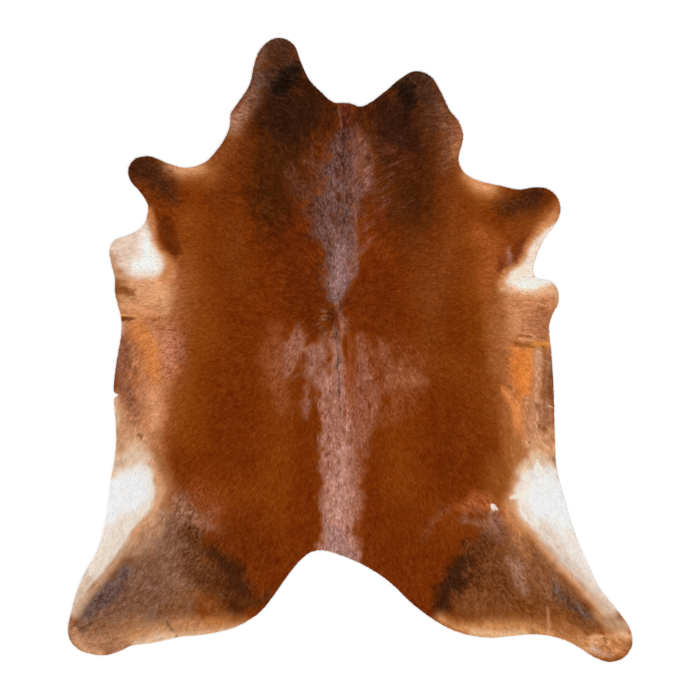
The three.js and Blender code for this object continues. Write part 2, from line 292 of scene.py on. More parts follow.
     [(75.2, -0.5, 2), (75.2, -6.4, 2), (75, -14, 2), (74.8, -20, 2), (75, -26, 2.2), (75, -33, 2)]),
    ("right belly edge", "#804829", 0.94, 2.4, 0.4, 0.35,
     [(80.6, -6, 1.6), (80, -10, 2.6), (80, -15, 2.8), (80.4, -20, 2)]),
    ("right belly mottle", "#af7855", 0.88, 3.5, 0.8, 0.35,
     [(80.6, -1, 2.8), (78.4, -9, 1), (78, -18, 1.4), (79, -25, 3), (79, -30, 2.8)]),
    # Painted shade in the belly groove.
    ("right belly groove shade", "#7c4b30", 0.6, 1.2, 0.4, 0.5,
     [(75.5, -22, 0.4), (75.5, -28, 0.5), (75.5, -34, 0.3)]),
    ("right flank rim", "#b26f3d", 0.88, 5, 0.5, 0.2,
     [(67.4, -36, 2.8), (67.4, -42, 3), (67.2, -47, 2.8), (64, -53, 3)]),
    ("right flank tan", "#d7a177", 0.94, 4, 0.5, 0.25,
     [(72, -37.5, 2.4), (76, -38, 3.8), (80.6, -35, 3.4), (80.4, -39, 4), (74, -42, 3.6)]),
    ("right flank cream", "#e2c5a8", 0.94, 4, 0.3, 0.06,
     [(74, -43.6, 3), (79.5, -46, 3), (71.4, -46, 3), (68.8, -49, 2.8), (74, -48, 3)]),
    ("right flank brown", "#924b1b", 0.7, 8, 0.8, 0.15, [(57, -44, 3), (57, -52, 4), (56, -58, 3)]),
    # White elbows.
    ("left elbow dark", "#632706", 0.9, 5, 0.6, 0.15,
     [(-74.8, 51.5, 2.4), (-73, 46, 3.2), (-70.8, 40.6, 2.8)]),
    ("left elbow tan", "#cc8655", 0.92, 3.5, 0.3, 0.2,
     [(-80.4, 55.4, 1.6), (-79, 50, 1.8), (-78.6, 44, 1.7), (-77.4, 40, 2), (-75.2, 36.5, 2.8),
      (-73, 33, 3), (-73, 29, 3)]),
    ("left elbow cream", "#e5cebc", 0.97, 3, 0.2, 0.08,
     [(-83.6, 51, 2.8), (-84.2, 46, 4.4), (-84, 41, 5.4), (-82.6, 37, 6), (-80, 34.4, 5.8),
      (-85, 35.4, 6.8), (-91, 39.5, 6.4), (-88, 43.5, 5)]),
    ("left elbow white", "#f5efeb", 0.95, 6, 0.3, 0.03,
     [(-82, 46, 1.8), (-81.4, 40, 3), (-80.2, 34.5, 4), (-85, 33.5, 3)]),
    ("left elbow pink", "#c29474", 0.92, 4, 0.5, 0.1, [(-95.4, 38.4, 1.2), (-94.4, 36, 2.4)]),
    ("right elbow dark", "#702f18", 0.92, 3, 0.8, 0.3,
     [(68, 42, 1.4), (67.6, 37.6, 2.2), (65, 34.4, 1.8)]),
    ("right elbow fleck", "#ad7a6a", 0.85, 2, 0.8, 0.5,
     [(63.2, 41, 0.7), (63.4, 38, 1), (63.6, 35.4, 0.7)]),
    ("right elbow rust", "#6e2a12", 0.6, 3, 0.8, 0.3, [(60, 37, 1), (60.6, 32, 1.4)]),
    ("right elbow tan", "#cf8c5a", 0.92, 3, 0.3, 0.2,
     [(82, 53.5, 1.8), (79.5, 50.5, 1.8), (76.6, 48, 1.8), (74, 44.5, 1.9), (71.2, 40.8, 1.8),
      (69.8, 37.3, 1.5), (67.8, 33.8, 1.5), (62.4, 30.8, 1.6), (60.2, 26.5, 1.6)]),
    ("right elbow cream", "#efddcd", 0.97, 2.4, 0.2, 0.04,
     [(82.5, 50, 1), (79.5, 46, 2.6), (76.4, 42.3, 2.9), (73.9, 38.7, 2.8), (72.5, 35.2, 2.8),
      (70.2, 31.6, 3), (66, 29.6, 2.4), (63.4, 27.2, 1.6)]),
    # Hind legs.
    ("left haunch brown", "#7e5742", 0.95, 8, 1.5, 0.3,
     [(-70, -62, 4), (-71, -72, 9), (-74, -81, 14), (-75, -92, 18), (-80, -100, 17), (-98, -109, 13)]),
    ("left haunch umber, wide", "#5f331c", 0.8, 9, 1.5, 0.35,
     [(-60, -80, 4), (-54, -89, 5.5), (-50, -98, 6)]),
    ("left haunch rust", "#8f441d", 0.85, 12, 2, 0.4, [(-61, -57, 5), (-54, -64, 5)]),
    ("left haunch shade", "#6c2c08", 0.8, 9, 1.5, 0.2, [(-54, -75, 3.5), (-47, -82, 4)]),
    ("left haunch mauve", "#98654e", 0.85, 9, 2.2, 0.7,
     [(-71, -60, 4), (-65, -65, 5), (-58.5, -68.5, 4.4), (-52.5, -71, 1.6)]),
    ("left haunch umber", "#66381e", 0.9, 7, 1.5, 0.5,
     [(-64, -72.5, 2.6), (-62.5, -79.5, 3.6), (-63.4, -86, 4.8), (-60.5, -92, 3.6)]),
    ("left haunch tawny", "#885433", 0.88, 7, 1.2, 0.4,
     [(-67, -95, 3), (-67, -101, 3.4), (-74, -106, 3), (-64, -106, 3.4)]),
    ("left haunch seal", "#a26e4c", 0.85, 6, 1, 0.35,
     [(-105, -111.5, 2.4), (-94, -109.5, 2), (-84, -108, 2.6)]),
    ("left haunch ochre", "#84491f", 0.9, 6, 1.2, 0.3,
     [(-62, -98, 2.5), (-57, -102, 4), (-52, -105, 3), (-45, -106, 1.6)]),
    ("left haunch arc", "#421c0a", 0.95, 7, 1, 0.15,
     [(-56, -80, 2), (-51, -85, 3.2), (-46, -90, 4.9), (-43.8, -95, 5), (-43.4, -99.5, 4.2),
      (-45, -103, 2.4)]),
    ("left haunch arm", "#5a2a0d", 0.88, 5, 0.8, 0.15,
     [(-43, -101, 2.4), (-37, -101, 2.6), (-33, -98, 2)]),
    ("left haunch light", "#b88767", 0.92, 6, 1.5, 0.35,
     [(-78, -66, 4.6), (-79.4, -72, 4.8), (-81, -77, 4.2), (-86, -81.4, 2.4)]),
    ("left haunch hazel", "#8f654e", 0.75, 6, 1.5, 0.4, [(-72, -78, 2.4), (-74, -87, 3), (-69, -92, 3)]),
    ("left haunch band", "#775c55", 0.9, 6, 1, 0.4,
     [(-89.5, -88, 2.4), (-92.4, -90.5, 3), (-95.4, -95.4, 4.2), (-99.4, -99.4, 4), (-104, -103.5, 3),
      (-107.5, -107, 1.4)]),
    ("left haunch band, core", "#5a4038", 0.7, 5, 1, 0.4,
     [(-90.4, -89.4, 1), (-96, -97.6, 2.2), (-104, -104.4, 1.4)]),
    ("left haunch pale", "#8a6049", 0.6, 5, 1.5, 0.5,
     [(-100, -106, 1.5), (-94, -105.5, 2), (-88, -102, 1)]),
    ("left haunch rim", "#c88e61", 0.92, 7, 0.8, 0.25,
     [(-95, -115.5, 2), (-86, -115, 3.8), (-76, -114, 5.6), (-66, -112.6, 5.9), (-56, -112.4, 5),
      (-47, -111.4, 4), (-42, -109, 1.4)]),
    ("left haunch rim light", "#e3c3a5", 0.9, 4, 0.5, 0.15,
     [(-85, -118.5, 2.4), (-76, -116.6, 3.6), (-67, -115.5, 2), (-50, -112.8, 1.2), (-45, -111, 0.8)]),
    ("left haunch rim amber", "#bb733b", 0.6, 3, 0.6, 0.2, [(-56, -109, 1.8), (-50, -108.6, 1.6)]),
    ("left tip tan", "#b17c5a", 0.92, 5, 1, 0.4,
     [(-112, -110, 2.4), (-109.6, -114, 3), (-104, -118, 5), (-97, -119, 4.5), (-92, -119.5, 3.4)]),
    ("left tip light", "#d09b76", 0.85, 3, 0.8, 0.3,
     [(-109.4, -116, 1.6), (-105.4, -119.6, 1.2), (-100, -121.2, 1)]),
    ("left tip dark", "#64422e", 0.75, 2.5, 0.6, 0.5,
     [(-109, -109.6, 0.7), (-107, -112, 1), (-104, -110, 0.8)]),
    # Painted shade in the crease of the left thigh.
    ("left leg crease shade", "#6d4a36", 0.7, 0.7, 0.3, 0.3,
     [(-77, -104, 0.2), (-73, -109, 0.25), (-69, -115, 0.2)]),
    ("right haunch brown", "#7d4622", 0.95, 7, 1.5, 0.3,
     [(58, -68, 5), (60, -78, 9), (56, -88, 13), (52, -97, 13), (68, -100, 11), (84, -104, 9),
      (94, -109, 7)]),
    ("right haunch tawny", "#85491d", 0.8, 6, 1, 0.3,
     [(50, -105, 2), (62, -106, 2.4), (74, -106, 3), (84, -107, 2.4)]),
    ("right haunch hazel", "#8f5b3b", 0.88, 6, 1.5, 0.4,
     [(66, -76, 4), (71, -85, 5), (77, -93, 4), (84, -100, 2)]),
    ("right haunch dark", "#633012", 0.9, 7, 1.5, 0.4,
     [(58, -76, 2.4), (53.4, -75.5, 3.6), (51, -80, 5), (51.6, -86, 5.4), (49.4, -93, 4.4)]),
    ("right haunch dark, middle", "#6f3c1e", 0.8, 6, 1.5, 0.4,
     [(57, -85, 3.4), (61, -90, 3.4), (62, -97, 2.4)]),
    ("right haunch arc", "#38180a", 0.93, 6, 1, 0.15,
     [(46, -83, 2.2), (44.8, -86, 3.2), (42.4, -90.6, 4.4), (39, -95.4, 4), (37.4, -100.2, 3.4),
      (36, -104.6, 2)]),
    ("right haunch rust", "#ae5c30", 0.92, 6, 1.8, 0.4,
     [(45, -62.6, 2.6), (50, -61, 4.2), (55, -61.4, 4.4), (60, -63.5, 3)]),
    ("right haunch mauve", "#946350", 0.88, 6, 1.8, 0.5,
     [(46, -68, 1.6), (51.6, -69.6, 3.4), (56.4, -67.8, 3.2), (59, -72, 2.6), (60, -75, 1.6)]),
    ("right rump streak", "#8f5a46", 0.55, 4, 1.2, 0.6, [(38, -64, 1.2), (34, -68, 1.5), (29, -76, 1)]),
    ("right haunch orange", "#cd8856", 0.9, 6, 0.8, 0.35,
     [(62.5, -60.6, 3), (65, -66, 3.4), (68.6, -75, 3.2), (71, -81, 1.8)]),
    ("right haunch rim brown", "#95521f", 0.75, 8, 0.8, 0.2,
     [(59.5, -48, 2.4), (59.5, -55, 3), (59.5, -59, 2)]),
    ("right haunch rose", "#a67762", 0.9, 4, 1.6, 0.6,
     [(63.4, -83.6, 1.8), (67, -88, 2.4), (68.4, -92, 2.4), (69.4, -96, 1.4)]),
    ("right haunch strip", "#5f3f32", 0.92, 4, 0.8, 0.45,
     [(81.6, -91.5, 1.8), (84.4, -96, 3.4), (87.4, -100.6, 2.6), (91, -104, 1.5), (95.6, -107, 1)]),
    ("right strip sheen", "#a08e96", 0.6, 2, 0.8, 0.6, [(82, -91, 0.8), (82.8, -96, 0.8)]),
    ("right strip flecks", "#8d7876", 0.5, 2, 0.8, 0.7,
     [(90, -101, 0.6), (94, -106, 0.6), (98.5, -110, 0.6)]),
    ("right haunch rim", "#cb8e5a", 0.92, 5, 0.6, 0.25,
     [(36, -107, 2), (42, -110.8, 2.6), (48, -112, 3.4), (57, -112.5, 4.8), (66, -112.5, 4.6),
      (74, -113, 4), (83, -115, 3.8), (89, -117, 3.5)]),
    ("right haunch rim light", "#e4b98f", 0.9, 3, 0.5, 0.15,
     [(49, -113, 1.2), (56, -113.4, 1.8), (63, -113.8, 1.8), (70, -113.4, 1)]),
    ("right haunch seal", "#a9683a", 0.8, 5, 1, 0.35,
     [(76, -108.5, 1.5), (84, -110.5, 3), (91, -113, 3)]),
    ("right haunch streak", "#d19a72", 0.7, 1.2, 0.3, 0.3, [(79, -103, 0.4), (79.5, -113, 0.7)]),
    ("right strip end", "#bd8e69", 0.85, 4, 0.8, 0.3, [(98.5, -106, 1.8), (103, -110, 2.4)]),
    ("right tip orange", "#cd8f5b", 0.92, 6, 1, 0.4,
     [(93, -116.5, 3.5), (100, -118, 5.5), (106, -117.5, 6), (110.5, -113.5, 3.5)]),
    ("right tip light", "#e2b188", 0.8, 3, 0.8, 0.4,
     [(92, -119.5, 1.4), (97, -119.6, 1.6), (97, -115, 1.8), (102, -114, 0.8), (112, -114, 1.8)]),
    ("right tip brown", "#94552e", 0.6, 3, 0.8, 0.5, [(104, -121, 1), (102, -116, 1)]),
    ("right tip fleck", "#cfa79c", 0.6, 1.5, 0.8, 0.8,
     [(96, -119, 0.6), (103, -122.5, 0.6), (110, -119, 0.6)]),
    ("right white spot", "#f8ede3", 0.97, 0.8, 0.3, 0.05,
     [(56.8, -61.9, 0.7), (57.7, -63, 1.1), (59, -63.6, 0.6)]),
    ("right white trail", "#c9a68f", 0.6, 0.6, 0.2, 0.3, [(56.5, -64, 0.3), (55.5, -67, 0.1)]),
    # White flanks and the cream of the hind legs.
    ("left leg rim", "#a5683f", 0.88, 6, 0.5, 0.2,
     [(-76, -46, 1.8), (-73.4, -51, 3), (-72.4, -56, 3.4), (-74, -60.6, 2.6)]),
    ("left leg line", "#d5a078", 0.92, 3.6, 0.3, 0.15,
     [(-79.5, -46, 1.6), (-77, -51, 2), (-76, -56, 2.6), (-77.6, -61.4, 2.4), (-81.4, -66.8, 2.4),
      (-84.8, -71.8, 2.2), (-87.8, -76.6, 2)]),
    ("left leg glow", "#d7a680", 0.6, 4, 0.5, 0.2,
     [(-74.4, -53, 1), (-76, -57.6, 1.6), (-78.4, -64, 1.8), (-79.4, -70, 1.2)]),
    ("left leg line, low", "#c79d7d", 0.92, 3.4, 0.3, 0.15,
     [(-87.8, -76.6, 1.8), (-91.2, -81.6, 1.8), (-94.6, -86.2, 1.8), (-98.2, -90.4, 1.7),
      (-101.6, -94.6, 1.6), (-104.8, -98, 1.6), (-107.6, -102, 1.6), (-109.6, -106, 1.6)]),
    ("left leg cream", "#e6dacd", 0.98, 2.5, 0.2, 0.05,
     [(-90, -51.5, 4), (-84, -50.6, 5.4), (-84.2, -56, 6.8), (-85.6, -60, 7), (-88.4, -62.7, 7.2),
      (-92, -67.7, 7), (-95, -72.7, 6.9), (-98.2, -77.7, 6.7), (-100.8, -82.4, 6.1), (-103.3, -86.6, 5.2),
      (-105.8, -90.6, 4.4), (-108, -94.8, 3.4), (-110.1, -99.5, 2.4), (-111.4, -104.4, 1.4)]),
    ("left leg cream, edge", "#e9dfd6", 0.98, 2.5, 0.2, 0.05,
     [(-95, -56, 4.5), (-97, -64, 5), (-100, -76, 3)]),
    ("left flank white", "#ebebec", 0.95, 5, 0.4, 0.02,
     [(-93, -54, 3), (-84.5, -52, 4), (-85, -57, 4.8), (-89, -60, 5.5), (-94, -60, 5.5), (-97, -66, 4)]),
    ("left leg dull", "#c9a98f", 0.7, 5, 0.8, 0.08,
     [(-105, -92, 1.5), (-108, -98, 2), (-110.4, -104, 2.4)]),
    ("right leg rim", "#925d3a", 0.9, 5, 0.6, 0.3,
     [(68, -75, 1), (72, -79, 2.2), (77, -84.6, 2.8), (81, -89, 2.4), (86, -94.6, 1.8),
      (91, -99.6, 1.2)]),
    ("right leg line", "#d6a076", 0.92, 3.6, 0.3, 0.15,
     [(66.4, -53, 1.8), (64.8, -58, 1.8), (65, -61.4, 2), (67.8, -66.5, 2), (71.4, -71.5, 2),
      (75.4, -76.5, 2), (79.4, -81.2, 1.9), (83.4, -86, 1.8), (88, -91, 1.8), (92.8, -95.8, 1.8),
      (97.2, -100.5, 1.8), (101, -105, 1.8)]),
    ("right leg cream", "#ece0d6", 0.98, 2.5, 0.2, 0.05,
     [(72, -52.6, 4.6), (71.4, -57, 5.9), (73, -62.8, 6.3), (76.9, -67.6, 6), (81.4, -72.4, 5.6)]),
    ("right leg cream, low", "#e3d2c4", 0.96, 4.5, 0.3, 0.05,
     [(80.8, -72.4, 5.4), (84.6, -77.2, 5.6), (88.4, -82, 5.6), (92.4, -87.3, 4.8), (97, -92, 4.8),
      (101, -97.6, 4), (104, -102.7, 3.5)]),
    ("right leg cream, edge", "#e9dfd7", 0.98, 2.5, 0.2, 0.05,
     [(79.6, -49.6, 3.6), (78, -52, 4.6), (82, -60, 7), (86, -69, 6), (91, -79, 5), (97, -88, 3.4),
      (103, -97, 2)]),
    ("right flank white", "#ebecec", 0.95, 6, 0.4, 0.02,
     [(75, -53, 2.4), (80, -53, 3), (82, -60, 6), (86, -67, 5), (74, -58, 4), (77, -64, 4)]),
    ("right leg dull", "#d2b398", 0.8, 6, 0.6, 0.08,
     [(99, -99, 1), (103.5, -104.6, 2.6), (106, -108.5, 3), (110, -110, 3)]),
    ("right white spike", "#f0e9e2", 0.95, 1, 0.3, 0.05, [(74.5, -44.5, 0.4), (75, -48, 2)]),
    ("right white point", "#f4e8da", 0.95, 0.8, 0.3, 0.05, [(64.2, -59, 0.3), (70, -58, 1.8)]),
    # Silver along the back: partly pale hair, partly painted sheen where the hair of the back catches the
    # light.
    ("right withers shade", "#5a2307", 0.8, 14, 2, 0.2, [(10, 62, 4), (14, 54, 6), (8, 52, 2)]),
    ("left wing veil", "#5a2b19", 0.7, 5, 1.5, 0.3,
     [(-14.6, 82, 2), (-14.8, 72, 3), (-15.4, 63, 3.4), (-17, 57, 2.6)]),
    ("left wing haze", "#643424", 0.75, 6, 2, 0.5,
     [(-25, 71, 1.5), (-21, 64.5, 3), (-16, 58, 3.6), (-14, 49, 3)]),
    ("left wing patch", "#713f2e", 0.8, 3, 1.2, 0.5,
     [(-18, 75.5, 1.2), (-13.5, 74, 2), (-11, 70.5, 1.6)]),
    ("left wing edge", "#6a392a", 0.85, 3, 1, 0.4, [(-7.8, 84, 1.4), (-8.6, 79, 2.4), (-9.8, 72, 1.8)]),
    ("left wing feather, outer", "#794a3a", 0.5, 1.6, 0.8, 0.6, [(-26.5, 71, 0.5), (-17.2, 59.8, 0.7)]),
    ("left wing feather, inner", "#794a3a", 0.5, 1.6, 0.8, 0.6, [(-23.5, 74, 0.5), (-15.2, 60, 0.6)]),
    ("left fringe", "#6e4032", 0.85, 5, 1.5, 0.5,
     [(-10.6, 72, 1.5), (-12.2, 64, 2.4), (-13.4, 56, 2.4), (-13, 49, 1.2)]),
    ("withers left shade", "#612506", 0.8, 4, 1, 0.2,
     [(-13, 38, 1), (-13, 30, 1.6), (-12.4, 23, 1.6), (-10.4, 17, 1)]),
    ("right wing", "#804e40", 0.9, 3, 1, 0.5,
     [(2.3, 89, 0.8), (4.2, 84, 2.6), (6.2, 79, 3.4), (6.8, 74, 3.6), (7, 68, 3.2), (5, 63, 2)]),
    ("right wing top", "#683b2a", 0.55, 4, 1.2, 0.5, [(8, 82.5, 1.5), (12, 81, 1.6), (16, 80.4, 0.8)]),
    ("right wing foot", "#6f3a28", 0.55, 3, 1.2, 0.5, [(5.4, 58, 1.4), (5.6, 50, 1.6), (5.6, 42, 1.4)]),
    ("right wing shade", "#5d2a19", 0.6, 2, 1, 0.5, [(9.5, 77, 0.8), (13, 74.5, 0.9)]),
    ("right wing feather, upper", "#7d4938", 0.65, 2, 1.2, 0.6,
     [(8, 66.5, 0.8), (12, 67.6, 0.7), (17, 70.5, 0.3)]),
    ("right wing feather, middle", "#7d4938", 0.65, 2, 1.2, 0.6,
     [(8.7, 62.5, 0.6), (12, 63.4, 0.7), (17, 66.8, 0.3)]),
    ("right wing feather, lower", "#74402f", 0.55, 2, 1.2, 0.6,
     [(8, 58.6, 0.6), (13, 60.6, 0.7), (19, 63.8, 0.3)]),
    ("right wing feather, low", "#8c5342", 0.65, 2, 1.2, 0.6,
     [(6, 53.4, 0.9), (11, 55.2, 0.9), (15.5, 58.8, 0.7)]),
    ("right withers lock, high", "#8c4d35", 0.65, 2, 1.2, 0.6,
     [(2.5, 46.5, 0.8), (6, 48, 1), (9, 51.2, 0.9)]),
    ("right withers lock, low", "#934f34", 0.85, 1.6, 0.6, 0.5, [(4, 38, 0.9), (8.6, 44, 1.2)]),
    ("right wing red streak", "#7c2f10", 0.6, 2.4, 1, 0.3, [(8, 57, 0.8), (12, 54.6, 1), (13.6, 50, 1)]),
    ("right wing low", "#7e3712", 0.6, 3, 0.8, 0.3, [(10, 46, 1.4), (13, 38, 1.6)]),
    ("right withers wisp", "#86441f", 0.5, 1, 0.4, 0.5, [(14.2, 35, 0.3), (16, 41.5, 0.4)]),
    ("right wing feather, top", "#6a3524", 0.7, 1.4, 0.5, 0.5, [(9.5, 76.6, 0.6), (18, 80.4, 0.4)]),
    ("right wing feather, high", "#6f3828", 0.7, 1.4, 0.5, 0.5, [(12, 71.8, 0.5), (20, 75.4, 0.4)]),
    ("right wing feather, poll", "#6a3524", 0.7, 1.6, 0.5, 0.5, [(6, 85.6, 0.6), (12, 84.6, 0.5)]),
    ("right wing feather, outer", "#74402e", 0.5, 1.6, 1, 0.6,
     [(18, 55.4, 0.3), (21, 57, 0.5), (25, 60, 0.2)]),
    # Silver hair of the withers, with painted sheen on it.
    ("withers silver and sheen", "#67443d", 0.95, 2.4, 0.9, 0.5,
     [(-2.4, 89, 1.6), (-3, 85, 3), (-3.4, 80, 4.2), (-3.4, 75, 5.4), (-3.8, 70, 7), (-3.8, 64, 7.7),
      (-4.6, 59, 8), (-5.6, 53, 8), (-5, 47, 7.6), (-3.8, 41, 7.2), (-3.4, 36, 6.9), (-4, 31.4, 6.5),
      (-5.2, 26.6, 5.1), (-5.4, 22.4, 3.9), (-5.2, 18.6, 1.8), (-4.4, 15.9, 1)]),
    # Painted sheen, brightest on the withers.
    ("withers sheen, brightest", "#96706a", 0.9, 7, 1, 0.5,
     [(-6, 46, 1), (-3.2, 41, 3), (-2.8, 36, 3.8), (-4, 31, 4.6), (-5.2, 26.6, 4.2), (-5.6, 22.6, 2.6),
      (-5.6, 19, 0.6)]),
    ("withers left light", "#7d5850", 0.7, 4, 1, 0.5, [(-8.6, 56, 1.2), (-9, 49, 2), (-12, 47, 1.6)]),
    ("withers cloud", "#6c4238", 0.7, 3, 1, 0.5, [(-8.4, 38, 1.6), (-8, 34, 1)]),
    ("withers rose", "#84564a", 0.8, 3.4, 1, 0.5,
     [(1, 84, 1), (2.6, 75, 2), (2.8, 66, 1.8), (2, 59, 1.2), (2, 47, 1.6), (2.8, 38, 1.9),
      (1.2, 31.6, 1.2)]),
    ("withers rose, low", "#96604f", 0.8, 2.6, 0.8, 0.4, [(1.4, 40, 1), (1.2, 33, 1.4), (0.8, 29, 0.8)]),
    ("withers seam", "#71483f", 0.85, 2, 0.8, 0.4, [(0.6, 88, 0.8), (1, 84, 1.4), (1.6, 79, 1.2)]),
    ("withers foot haze", "#7a4634", 0.6, 3, 1.2, 0.5, [(-11, 34, 1), (-10.8, 29, 1.2), (-10, 25, 0.8)]),
    ("neck parting", "#4a251b", 0.8, 2.6, 0.5, 0.5,
     [(-2, 90, 1.4), (-2.6, 85, 1.9), (-3, 79, 1.5), (-3.3, 74, 0.4)]),
    ("withers spot", "#4f2a22", 0.6, 1.4, 0.4, 0.4, [(-1, 62.5, 0.5), (1, 60.5, 0.4)]),
    ("poll tuft", "#561f12", 0.85, 1.5, 0.4, 0.4, [(-1.5, 97, 2), (-1.5, 91, 2)]),
    ("poll scar", "#96665a", 0.7, 0.9, 0.3, 0.3, [(-4.6, 97.5, 0.3), (-4, 93, 0.3), (-3.5, 88.5, 0.4)]),
    ("poll scar, short", "#84513f", 0.5, 0.9, 0.3, 0.3, [(0.2, 93.5, 0.2), (-1.2, 90.5, 0.3)]),
    ("withers foot shade", "#5c1e04", 0.75, 3, 0.6, 0.2, [(1.2, 23, 1), (-0.8, 19.5, 1.4)]),
    ("loin haze", "#944f2c", 0.8, 8, 2, 0.4, [(-30, 7, 3), (-31, -4, 5.4), (-29, -15, 4), (-27, -24, 2)]),
    ("loin haze, inner", "#985a3e", 0.6, 6, 1.5, 0.45,
     [(-26, 3, 1.8), (-27, -6, 2.4), (-25.6, -11, 1.2)]),
    ("loin haze, right", "#8d4724", 0.7, 8, 2, 0.4,
     [(20, 2, 3), (28, -5, 5), (24, -16, 5), (18, -27, 3)]),
    ("loin left lobe", "#a86f5b", 0.85, 4, 1.4, 0.45,
     [(-20.5, 7, 2.6), (-21.5, 1, 4), (-22.6, -4.6, 2.6), (-24.4, -9.6, 0.8)]),
    ("loin left", "#a36d5c", 0.94, 4, 1.2, 0.45,
     [(-11.4, 3, 2), (-13.2, -1.6, 4.6), (-13, -8.8, 5), (-9.6, -15.2, 4)]),
    ("loin tongue", "#955b44", 0.85, 3, 1, 0.45,
     [(-17.4, -15, 1.6), (-17.6, -20.8, 2), (-17.8, -27, 0.8)]),
    ("loin right", "#995b42", 0.92, 5, 1.4, 0.4,
     [(4, 4.5, 2), (6, -2.5, 4.8), (5.9, -10, 5.4), (7.4, -17, 6.6), (7, -25, 5.6), (6.2, -31, 3.8),
      (5, -37, 2.2), (5.2, -43, 2), (4, -48, 1)]),
    ("loin right cloud", "#935236", 0.88, 4, 1.4, 0.45,
     [(12, 3, 1.8), (13.5, -2, 3), (16, -8, 2.5), (15, -14, 4.4)]),
    ("loin right lobe", "#9c5a38", 0.88, 4, 1.3, 0.4,
     [(20.4, -5.4, 1.8), (19, -12, 4), (25, -11.4, 4.2), (29, -13, 2.6)]),
    ("loin right fringe", "#934d27", 0.7, 4, 1.5, 0.45,
     [(19, -18, 2), (16.7, -24, 2.6), (13.5, -30, 1.6)]),
    ("loin spine", "#aa7361", 0.88, 3, 1, 0.45,
     [(-6, 8, 1.4), (-5.3, 0, 2.8), (-4.8, -6, 3.6), (-5, -12, 3.6)]),
    # Silver hair of the rump, with painted sheen on it.
    ("rump silver and sheen", "#af7766", 0.96, 3.2, 1.2, 0.5,
     [(-7, -14, 5), (-6.2, -20, 6.6), (-5, -28, 7), (-4.4, -36, 7.8), (-4.8, -44, 8), (-3.8, -50, 7.6),
      (-3.6, -56, 8), (-4, -62, 8.4), (-4.8, -68, 6.8), (-3.8, -72.5, 6.4), (-4.8, -78, 8.2),
      (-4, -83, 8.6)]),
    ("rump silver and sheen, upper", "#9d6450", 0.6, 6, 1, 0.45, [(-5, -20, 3), (-5, -29, 4)]),
    ("rump right", "#9b5a3e", 0.7, 4, 1, 0.45,
     [(1.8, -16, 2), (2.6, -30, 2.2), (3.4, -48, 2), (3, -58, 2), (3, -76, 1)]),
    # Painted sheen, brightest on the rump.
    ("rump sheen, brightest", "#bd8979", 0.85, 7, 1, 0.45,
     [(-3, -40, 2), (-4, -50, 3.2), (-4, -60, 4), (-4.8, -66, 3.6)]),
    ("tail mauve", "#a87d74", 0.85, 4, 0.8, 0.4, [(-6.2, -72.5, 3), (-5.6, -78, 5), (-4, -83, 6)]),
    ("spine rust", "#9f4f2c", 0.75, 2.2, 0.8, 0.35,
     [(-0.5, 7, 1.2), (0, 0, 1.9), (0, -7, 1.8), (-0.3, -15, 0.8)]),
    ("spine rust, low", "#a1583c", 0.6, 2.5, 0.8, 0.4, [(-0.6, -16, 1), (-0.8, -28, 1)]),
    ("loin right gap", "#8b3f18", 0.6, 3, 1, 0.4,
     [(7.6, 5, 0.8), (8.2, -1, 1), (10, -7, 1.4), (11, -12, 0.8)]),
    ("whorl link", "#8a4e38", 0.8, 2.4, 0.8, 0.6,
     [(-5.2, 19, 0.9), (-4.4, 16, 0.9), (-3.4, 13.5, 1.2), (-2.4, 11, 2.4), (-2, 7, 1.6)]),
    ("whorl dark", "#5c250c", 0.8, 2.4, 0.6, 0.4, [(-8, 15.4, 1), (-7.6, 11.5, 1.6)]),
    ("whorl specks", "#b08a72", 0.5, 0.8, 2, 0.9,
     [(-12.4, 17, 0.2), (-10.6, 14, 0.3), (-12, 10.6, 0.2), (-9.4, 8.6, 0.2)]),
    ("spine pale line", "#a56852", 0.8, 1.2, 0.4, 0.4,
     [(-3.7, 13.5, 0.6), (-3.3, 7.9, 0.9), (-3.6, 0, 0.6)]),
    ("spine line", "#4f3a3c", 0.55, 1, 0.4, 0.5,
     [(-6.2, 10.5, 0.5), (-5, 6, 0.6), (-4.9, -2, 0.4), (-4.8, -10, 0.2), (-4.4, -20, 0.1),
      (-4.2, -28, 0)]),
    # Creases and wrinkles: painted highlights and painted shade along them, over the folds of the skin, and a
    # few dots and flecks.
    ("left crease light", "#f2ae68", 0.85, 0.8, 0.2, 0.1, [(-91.5, 13.8, 0.4), (-85.5, 13.9, 0.3)]),
    ("left crease shade", "#6a3210", 0.88, 1.3, 0.3, 0.1, [(-91, 12.3, 0.7), (-86.5, 12.3, 0.6)]),
    ("left crease shade, faint run", "#9a5227", 0.6, 1.5, 0.3, 0.2,
     [(-83, 12.2, 0.5), (-72, 12.2, 0.4), (-62, 12.2, 0.1)]),
    ("right crease shade", "#7c4520", 0.8, 0.9, 0.2, 0.1, [(68, 5.8, 0.4), (78, 4.6, 0.4)]),
    ("right crease light", "#f0ad6c", 0.85, 0.7, 0.2, 0.2, [(67.5, 4.6, 0.4), (73, 3.8, 0.3)]),
    ("right fold shade", "#94531f", 0.6, 2, 0.5, 0.2, [(67, 2, 1.2), (73, 1.5, 1)]),
    ("right fold orange", "#dd9144", 0.85, 2, 0.5, 0.2, [(74, 2.4, 1), (79, 2.4, 1)]),
    ("right fold dot", "#6d3a12", 0.8, 0.8, 0.1, 0.1, [(77.2, 1.2, 0.4)]),
    ("right fold light", "#e0924f", 0.8, 0.8, 0.2, 0.2, [(61, 0.8, 0.3), (66, 0.6, 0.4), (73, 0.2, 0.3)]),
    ("right belly fleck", "#e4cdbb", 0.8, 0.8, 0.3, 0.3, [(79.5, -22.5, 0.5), (81, -23, 0.4)]),
    ("right belly dot", "#5e3a20", 0.8, 0.6, 0.1, 0.2, [(71.6, -37.2, 0.4)]),
    # Painted highlights on the wrinkles at the base of the right neck.
